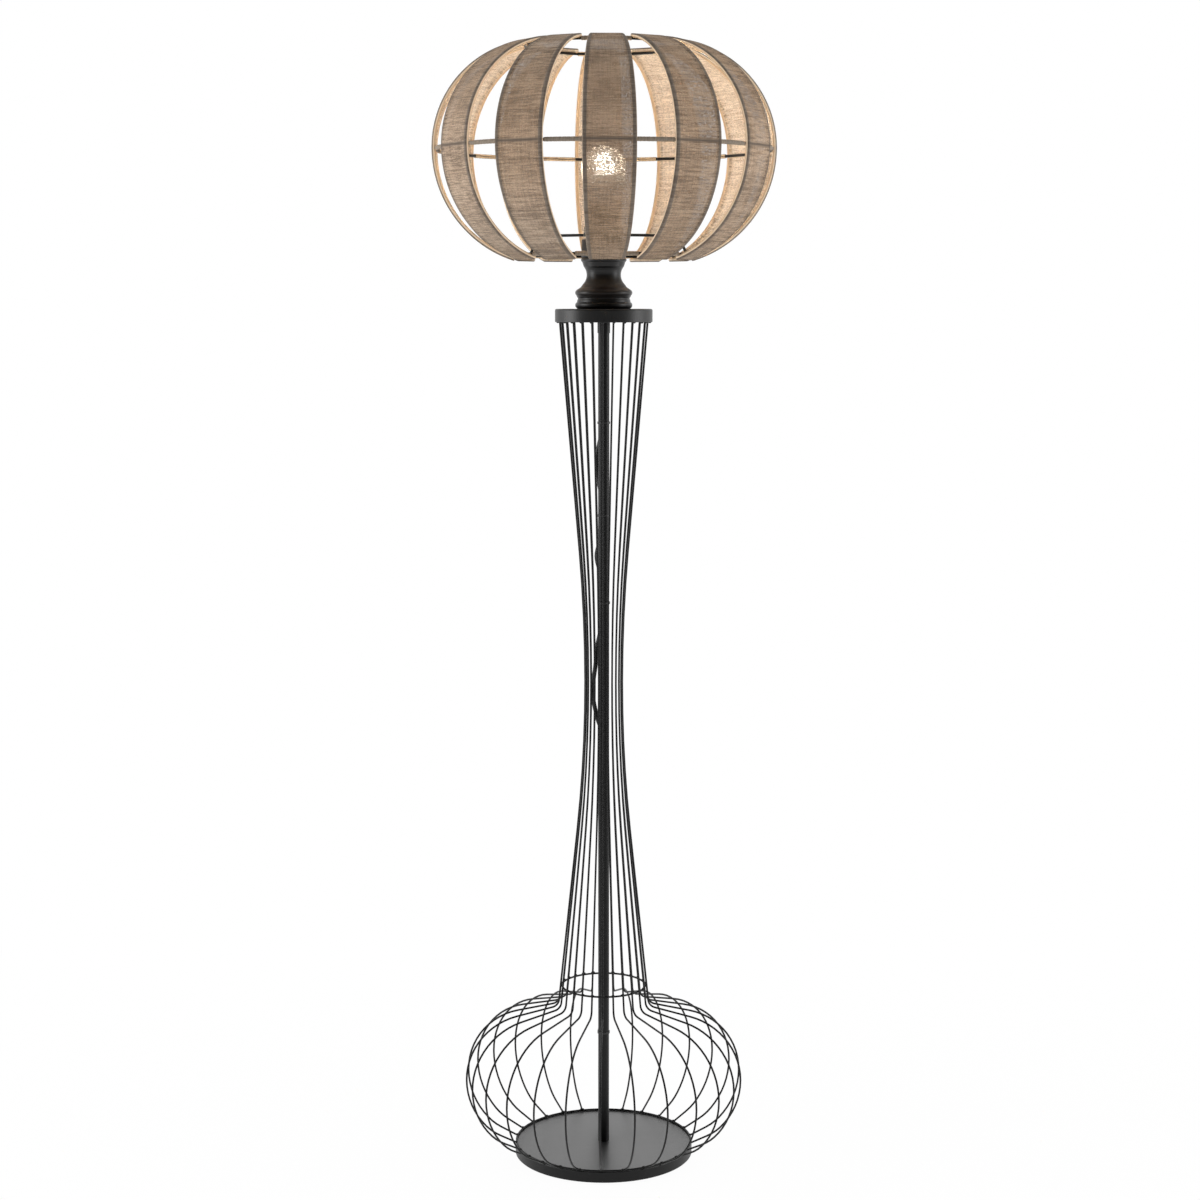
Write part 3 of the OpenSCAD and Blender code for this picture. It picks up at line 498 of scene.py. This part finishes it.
spread = random.Random(11)
spots, turns, sizes = [], [], []
for radius, z, size in BEAD_RINGS:
    for number in range(ROD_COUNT):
        a = ROD_TURN + number * 360 / ROD_COUNT
        a = math.radians(a + ROD_DRIFT * (1 - math.cos(math.radians(a))) / 2 - 90)
        spots.append((radius * math.cos(a) * MM, radius * math.sin(a) * MM, z * MM))
        turns.append((0.0, 0.0, a + spread.uniform(-0.2, 0.2)))
        grow = spread.uniform(0.9, 1.1)
        sizes.append([v * grow for v in size])
points = bpy.data.meshes.new("weld_points")
points.from_pydata(spots, [], [])
for label, values in (("turn", turns), ("size", sizes)):
    points.attributes.new(label, "FLOAT_VECTOR", "POINT").data.foreach_set("vector", [x for v in values for x in v])
welds = put("weld_points", points)
tree, ids = group_tree("weld beads", [("Bead radius", "Float"), ("Material", "Material")], weld_nodes)
beads = welds.modifiers.new("beads", "NODES")
beads.node_group = tree
beads[ids["Bead radius"]] = BEAD_R * MM
beads[ids["Material"]] = powder
made = bpy.data.meshes.new_from_object(welds.evaluated_get(bpy.context.evaluated_depsgraph_get()))
welds.modifiers.remove(beads)
welds.data = made
welds.name = made.name = "weld_beads"
made.shade_smooth()
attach(welds, "lamp")


# Cap and neck
# The cap is a spun steel lid, and the neck is turned and sprayed black-brown, with two beads and a groove.
# The cup over it is spun steel again.
FLARE_Z, FLARE_REACH = 1.187, 0.016


def turned_lacquer(w):
    """Black-brown lacquer, thinner and browner on the flare, with faint turning rings."""
    height = w.place().axis(2)
    rings = w.node("CombineXYZ", {2: height * 900.0}).noise(1.0, 2.0)
    cloud = w.place().noise(30.0, 4.0)
    rubbed = w.sum("ABSOLUTE", height - FLARE_Z).scaled(FLARE_REACH, 0.0, smooth=True)
    brown = cloud.mix((0.006, 0.004, 0.002), (0.013, 0.007, 0.004))
    return w.surface(rubbed.mix((0.0025, 0.0022, 0.002), brown), cloud * 0.1 + 0.3, Specular_IOR_Level=0.35,
        Normal=rings.bump(0.08, 0.0003))


dress("cap holder_cup", new_material("black spun steel", lacquer((0.003, 0.003, 0.003), 0.36, 900.0, 0.08, 0.5)))
dress("turned_neck", new_material("black-brown lacquer", turned_lacquer))


# Lampholder
# An E27 holder of black moulding with a glazed ceramic insert and a brass screw shell.
# The shade's flange and lock ring are of the same moulding.
dress("holder_base holder_skirt shade_lock_ring",
    new_material("black holder plastic", moulded((0.007, 0.007, 0.007), 0.4, 1500.0)))
dress("holder_insert", new_material("glazed ceramic", moulded((0.8, 0.78, 0.72), 0.15, 300.0)))
dress("holder_contact holder_shell", brass)
dress("inner_wires", new_material("brown core wire", moulded((0.12, 0.05, 0.03), 0.45, 700.0)))
dress("plug_pins", new_material("nickel plate", metal((0.75, 0.73, 0.7), 0.15, 900.0)))


# Bulb
# A switched-on bulb with a nickel screw cap, a white body and an opal dome round a bright core.
# The core is a body of light with four ever thinner shells of haze round it, and a lamp inside lights the shade.
BULB_Z, WARM = 1350, (1.0, 0.86, 0.66)
BODY_DARK, BODY_LIT, DOME_DARK, DOME_LIT = 1.316, 1.335, 1.333, 1.352


def opal(w):
    """Opal plastic that glows most round the core and fades down to the body."""
    power = w.place().axis(2).scaled(DOME_DARK, DOME_LIT, 0.05, 1.0, smooth=True)
    return w.surface((1.0, 0.93, 0.82, 1), 0.25, Alpha=0.2, Emission_Color=power.mix((0.25, 0.2, 0.15), WARM),
        Emission_Strength=1.2)


def lit_body(w):
    """White plastic that glows under the dome and fades down to the cap."""
    power = w.place().axis(2).scaled(BODY_DARK, BODY_LIT, smooth=True)
    cloud = w.place().noise(40.0, 2.0)
    return w.surface(cloud.mix((0.8, 0.79, 0.75), (0.86, 0.85, 0.81)), cloud * 0.1 + 0.28,
        Emission_Color=power.mix((0.0, 0.0, 0.0), WARM), Emission_Strength=1.6)


def lit_core(w):
    """The core and the haze round it, which the attribute haze thins out."""
    haze = w.node("Attribute", out=2, attribute_name="haze")
    light = w.sum("POWER", 1 - haze, 3.0).mix((0.0, 0.0, 0.0), (1.0, 0.92, 0.78))
    return w.surface((1, 1, 1, 1), 0.5, Alpha=w.sum("MAXIMUM", 1 - haze * 4, 0.15), Emission_Color=light,
        Emission_Strength=25.0)


dress("bulb_contact", new_material("black glass insulator", moulded((0.02, 0.02, 0.02), 0.1, 300.0)))
dress("bulb_body", new_material("white bulb plastic", lit_body))
dress("bulb_board", new_material("white lamp board", moulded((0.85, 0.85, 0.85), 0.4, 500.0)))
dress("bulb_dome", new_material("opal dome", opal))
frame["nodes"]["bulb_dome"].visible_shadow = False

THREAD_LOW, THREAD_HIGH, THREAD_PITCH, THREAD_R, THREAD_STEPS, CAP_AROUND = 1271.6, 1292.5, 3.6, 13.1, 56, 64


def thread_row(z):
    """Radii round the rolled thread at one height, which fades out at both ends."""
    fade = min(1, (z - THREAD_LOW) / 2, (THREAD_HIGH - z) / 2)
    waves = [math.cos(2 * math.pi * ((z - THREAD_LOW) / THREAD_PITCH - k / CAP_AROUND)) for k in range(CAP_AROUND)]
    return [(THREAD_R - 0.65 + 0.6 * wave) * fade + (THREAD_R - 0.9) * (1 - fade) for wave in waves]


rows = [(9.1, 1270.0), (11.5, 1270.0), (12.0, 1270.6)]
for i in range(THREAD_STEPS + 1):
    z = THREAD_LOW + (THREAD_HIGH - THREAD_LOW) * i / THREAD_STEPS
    rows.append((thread_row(z), z))
rows += [(THREAD_R, 1294.0), (THREAD_R - 0.5, 1294.0), (11.4, 1272.0), (9.1, 1271.0)]
verts = [p for radius, z in rows for p in circle((0, 0, z), radius, CAP_AROUND)]
screw_cap = add_mesh("bulb_screw_cap", verts, skin(0, len(rows), CAP_AROUND, round_again=True),
    new_material("nickel screw cap", metal((0.78, 0.76, 0.73), 0.18, 900.0)))
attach(screw_cap, "bulb")
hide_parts("bulb_cap")


def mark(obj, name, values):
    """A number on each point, which the material reads by its name."""
    obj.data.attributes.new(name, "FLOAT", "POINT").data.foreach_set("value", values)


CORE_R, CORE_HALF, CORE_X, CORE_Z, CORE_FLOOR, CORE_ROWS, CORE_AROUND = 11.8, 15.5, 0.9, 1347.5, 1333.5, 19, 32
verts, faces, hazes = [], [], []
for number, grow in enumerate((1.0, 1.1, 1.2, 1.32, 1.45)):
    base = len(verts)
    for i in range(CORE_ROWS):
        b = math.pi * (i + 1) / (CORE_ROWS + 1)
        z = max(CORE_FLOOR + 0.2 * number, CORE_Z + CORE_HALF * grow * math.cos(b))
        verts += circle((CORE_X, 0, z), CORE_R * grow * math.sin(b) ** 0.55, CORE_AROUND)
    faces += skin(base, CORE_ROWS, CORE_AROUND) + ends(base, CORE_ROWS, CORE_AROUND)
    hazes += [(grow - 1) / 0.8] * (CORE_ROWS * CORE_AROUND)
core = add_mesh("bulb_core", verts, faces, new_material("lit core", lit_core))
mark(core, "haze", hazes)
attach(core, "bulb")
core.visible_shadow = False

bulb_light = bpy.data.lights.new("bulb light", "POINT")
bulb_light.energy = 0.85
bulb_light.color = (1.0, 0.86, 0.72)
bulb_light.shadow_soft_size = 0.015
glow = put("bulb light", bulb_light)
glow.location = (0, 0, BULB_Z * MM)
glow.parent = frame["bodies"]["bulb"]


# Shade frame
# Three rings of 3.8 mm wire and 24 ribs of 2.6 mm wire, and a spider whose ring sits on the lampholder's flange.
# It is powder coated like the cage.
dress("shade_spider bottom_ring middle_ring top_ring shade_ribs", powder)


# Shade cloth
# Twelve strips of jute, each stretched between two ribs and folded round them as a hem.
# The coarse weft runs across the strip in thick and thin slubs, and the bulb shines through between the threads.
SHADE_Z, TOP_R, LOW_R = 1368, 98.5, 118.5
UPPER_C, UPPER_RHO = 84.3, 140.3
LOWER_C, LOWER_RHO = 73.6, 151.0
UPPER_LONG = UPPER_RHO * math.acos((TOP_R - UPPER_C) / UPPER_RHO)
LOWER_LONG = LOWER_RHO * math.acos((LOW_R - LOWER_C) / LOWER_RHO)
STRIP_LONG = LOWER_LONG + UPPER_LONG
STRIPS, STRIP_TURN, STRIP_HALF, STRIP_GROW = 12, 1.75, 9.4, 0.098
CLOTH_STEPS, WEFT, WARP = 110, 0.0013, 0.0015
HEM_WIDE, HEM_R, RING_HALF = 3.0, 2.3, 3.2


def meridian(s):
    """Radius and height on a strip's middle line s up from its lower end, its outward way, and the half width."""
    if s < LOWER_LONG:
        a, c, rho = (s - LOWER_LONG) / LOWER_RHO, LOWER_C, LOWER_RHO
    else:
        a, c, rho = (s - LOWER_LONG) / UPPER_RHO, UPPER_C, UPPER_RHO
    x = c + rho * math.cos(a)
    return x, SHADE_Z + rho * math.sin(a), math.cos(a), math.sin(a), STRIP_HALF + STRIP_GROW * x


def strip_profile(w):
    """A closed section of the strip: (across, depth) from the middle of the outside round both hems."""
    half = [(0, 0), (w * 0.25, 0), (w * 0.5, 0), (w * 0.75, 0), (w - 4.6, 0), (w - 3.1, 0), (w - 2.6, -0.15),
        (w - 1.2, -0.15)]
    half += [(w + HEM_R * math.sin(a), 2.5 - 2.65 * math.cos(a)) for a in [math.pi * i / 9 for i in range(10)]]
    half += [(w - 1.8, 4.8), (w - 3.4, 3.7), (w - 4.6, 2.2), (w - 5.0, 1.0), (w * 0.5, 1.0), (0, 1.0)]
    return half + [(-y, n) for y, n in reversed(half[1:-1])]


def jute(w):
    """Weft threads lie across the strip (U), warp threads along it (V)."""
    across, along = [w.node("UVMap", uv_map="cloth").axis(i) for i in (0, 1)]
    side, hem, ring_shadow, rim, strip_no = [w.node("Attribute", out=2, attribute_name=name)
        for name in ("side", "hem", "ring_shadow", "rim", "strip_no")]

    def streaks(across_scale, along_scale, detail, rough, seed):
        spot = w.node("CombineXYZ", {0: across * across_scale, 1: along * along_scale, 2: strip_no * 7.3 + seed})
        return spot.noise(1.0, detail, Roughness=rough)

    slubs = streaks(46.0, 560.0, 3.0, 0.62, 0.0)
    long_slubs = streaks(11.0, 300.0, 2.0, 0.5, 3.0)
    warp_slubs = streaks(640.0, 30.0, 2.0, 0.5, 6.0)
    patches = streaks(22.0, 26.0, 3.0, 0.55, 9.0)
    weft = w.sum("SINE", along * (2 * math.pi / WEFT)) * 0.5 + 0.5
    warp = w.sum("SINE", across * (2 * math.pi / WARP)) * 0.5 + 0.5
    thread = slubs * 0.55 + long_slubs * 0.25 + warp_slubs * 0.2
    tone = (thread + (patches - 0.5) * 0.25).scaled(0.425, 0.575)

    dyes = streaks(1.5, 4.0, 1.0, 0.5, 12.0).scaled(0.35, 0.65)
    panel = tone.mix(dyes.mix((0.185, 0.130, 0.086), (0.205, 0.162, 0.126)),
        dyes.mix((0.38, 0.285, 0.20), (0.43, 0.355, 0.28)))
    # Painted shade: the hems are darker outside, where the folded double cloth lets no bulb light through.
    hem_out_shade = tone.mix((0.155, 0.122, 0.095), (0.25, 0.205, 0.165))
    # Painted shadow: the outside is darker in a band where the strip lies over the middle ring.
    outer = ring_shadow.mix(hem.mix(panel, hem_out_shade), (0.15, 0.12, 0.095))
    # Painted light: the inside and its hems are a lighter, warmer copy of the jute, as lit by the bulb.
    inner = hem.mix(tone.mix((0.62, 0.49, 0.36), (0.82, 0.70, 0.56)), (0.62, 0.45, 0.29))
    # Painted light: the rolled hem edges seen at the strips' sides are coloured lighter, as lit from inside.
    colour = rim.mix(side.mix(outer, inner), (0.62, 0.52, 0.41))

    closed = w.sum("MAXIMUM", hem, ring_shadow)
    pores = streaks(420.0, 640.0, 1.0, 0.5, 15.0)
    loose = (1 - weft) * (1 - warp) * 0.25 + pores + (0.5 - thread) * 0.7 - closed
    open_share = loose.scaled(0.40, 0.80, 0.02, 0.52)
    glow = ((1 - closed) * (1 - side) * (tone * 0.7 + 0.5)).scaled(0.0, 1.2)
    reach = w.sum("ABSOLUTE", along - 0.18).scaled(0.0, 0.17, 1.0, 0.45, smooth=True)
    # Painted light: the outside glows warm where the bulb's light would come through, and the rolled hem edges glow
    # as lit.
    lit = rim.mix((glow * reach).mix((0, 0, 0), (0.110, 0.056, 0.024)), (0.30, 0.22, 0.14))
    height = (weft + warp) * 0.3 + thread * 1.1 + patches * 0.2
    return w.surface(colour, 0.85, Alpha=1 - open_share, Emission_Color=lit, Emission_Strength=1.0,
        Specular_IOR_Level=0.15, Normal=height.bump(0.6, 0.0007))


def unroll(obj, places):
    """Gives each point its place on the flat cloth."""
    uv = obj.data.uv_layers.new(name="cloth")
    for loop in obj.data.loops:
        uv.data[loop.index].uv = places[loop.vertex_index][:2]


def close_ends(rows, count):
    """Closes the section's first and last row with a ladder of faces between its outside and inside."""
    faces = []
    for i, flip in ((0, True), (rows - 1, False)):
        for k in range(count // 2):
            four = [k, k + 1, (count - k - 1) % count, (count - k) % count]
            loop = [i * count + v for n, v in enumerate(four) if v not in four[:n]]
            if len(loop) > 2:
                faces.append(tuple(reversed(loop)) if flip else tuple(loop))
    return faces


cloth = new_material("jute cloth", jute)
for number in range(STRIPS):
    turn = math.radians(STRIP_TURN - 90 + number * 360 / STRIPS)
    verts, marks = [], []
    for i in range(CLOTH_STEPS + 1):
        s = STRIP_LONG * i / CLOTH_STEPS
        x, z, out_x, out_z, w = meridian(s)
        # How much of the strip lies over the middle ring, where its painted ring shadow falls.
        ring_shadow_share = min(1, 2 * max(0, 1 - abs(z - SHADE_Z) / RING_HALF))
        for y, n in strip_profile(w):
            r, h = x - n * out_x, z - n * out_z
            verts.append(((r * math.cos(turn) - y * math.sin(turn)) * MM,
                (r * math.sin(turn) + y * math.cos(turn)) * MM, h * MM))
            inside = n > 3.0 or n > 0.9 and abs(y) < w - 1
            # The rolled hem edge seen from the side, which gets painted light.
            rim = abs(y) > w + 2.0 and n > 1.9
            marks.append((y * MM, s * MM, float(inside), float(abs(y) > w - HEM_WIDE), ring_shadow_share, float(rim)))
    count = len(verts) // (CLOTH_STEPS + 1)
    faces = skin(0, CLOTH_STEPS + 1, count) + close_ends(CLOTH_STEPS + 1, count)
    strip = add_mesh("jute_strip_%02d" % (number + 1), verts, faces, cloth)
    unroll(strip, marks)
    for name, column in (("side", 2), ("hem", 3), ("ring_shadow", 4), ("rim", 5)):
        mark(strip, name, [m[column] for m in marks])
    mark(strip, "strip_no", [float(number)] * len(marks))
    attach(strip, "lamp")
    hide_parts("shade_strips")


# Tape on the rings
# In the gaps between strips each ring is wrapped from the outside in the same jute, and its inner side stays bare.
# The tape's lips and inside are painted brighter, as lit by the bulb.
TAPE_RINGS = [("top", "top_ring", 2.3), ("middle", "middle_ring", 2.95), ("bottom", "bottom_ring", 2.3)]
WIRE_R, TAPE_IN, TAPE_OUT, TAPE_STEP, TAPE_LAP, TAPE_POINTS = 1.9, 2.0, 2.75, 1.6, 5.5, 12


def tape_cloth(w):
    """Jute tape whose threads run round the wire, brown outside and painted lighter inside, as lit by the bulb."""
    along, round_it = [w.node("UVMap", uv_map="cloth").axis(i) for i in (0, 1)]
    lip = w.node("Attribute", out=2, attribute_name="lip")
    slubs = w.node("CombineXYZ", {0: along * 500.0, 1: round_it * 90.0}).noise(1.0, 3.0)
    tone = slubs.scaled(0.3, 0.7)
    outside = tone.mix((0.20, 0.165, 0.13), (0.36, 0.30, 0.24))
    # Painted light: the tape's lips and inside are a lighter, warmer copy of the jute, as lit by the bulb.
    inside = tone.mix((0.50, 0.36, 0.22), (0.68, 0.53, 0.36))
    return w.surface(lip.mix(outside, inside), 0.85, Specular_IOR_Level=0.15, Normal=slubs.bump(0.5, 0.0005))


def add_sleeve(verts, faces, marks, ring_r, ring_z, start, end, reach, chance):
    """One sleeve of tape from azimuth start to end, open towards the axis. Returns its length."""
    steps = max(4, round((end - start) * ring_r / TAPE_STEP))
    section = [reach * (2 * k / (TAPE_POINTS - 1) - 1) for k in range(TAPE_POINTS)]
    base = len(verts)
    for i in range(steps + 1):
        a = start + (end - start) * i / steps
        lap = 0.22 * ((i * TAPE_STEP / TAPE_LAP) % 1)
        for out in (True, False):
            for b in section if out else reversed(section):
                r = TAPE_OUT + lap + 0.12 * math.sin(9 * a + 3 * b + chance) if out else TAPE_IN
                x, z = ring_r + r * math.cos(b), ring_z + r * math.sin(b)
                verts.append((x * math.cos(a) * MM, x * math.sin(a) * MM, z * MM))
                shown = out and abs(b) < min(1.9, reach - 1.0)
                marks.append(((a - start) * ring_r * MM, b * r * MM, 0.0 if shown else 1.0))
    faces += skin(base, steps + 1, 2 * TAPE_POINTS) + ends(base, steps + 1, 2 * TAPE_POINTS)
    return (end - start) * ring_r


tape = new_material("jute tape", tape_cloth)
waviness = random.Random(7)
pitch = 2 * math.pi / STRIPS
for label, node, reach in TAPE_RINGS:
    low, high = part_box(node)
    ring_r, ring_z = high[0] / MM - WIRE_R, (low[2] + high[2]) / 2 / MM
    across = STRIP_HALF + STRIP_GROW * math.sqrt(ring_r ** 2 - (STRIP_HALF + STRIP_GROW * ring_r) ** 2)
    edge = math.asin((across + 2.6) / ring_r)
    verts, faces, marks, total = [], [], [], 0
    for number in range(STRIPS):
        middle = math.radians(STRIP_TURN - 90) + number * pitch
        total += add_sleeve(verts, faces, marks, ring_r, ring_z, middle + edge, middle + pitch - edge, reach,
            waviness.uniform(0, 6))
    wrap = add_mesh("tape_" + label, verts, faces, tape)
    unroll(wrap, marks)
    mark(wrap, "lip", [m[2] for m in marks])
    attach(wrap, "lamp")
    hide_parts("ring_tapes")
    total * MM
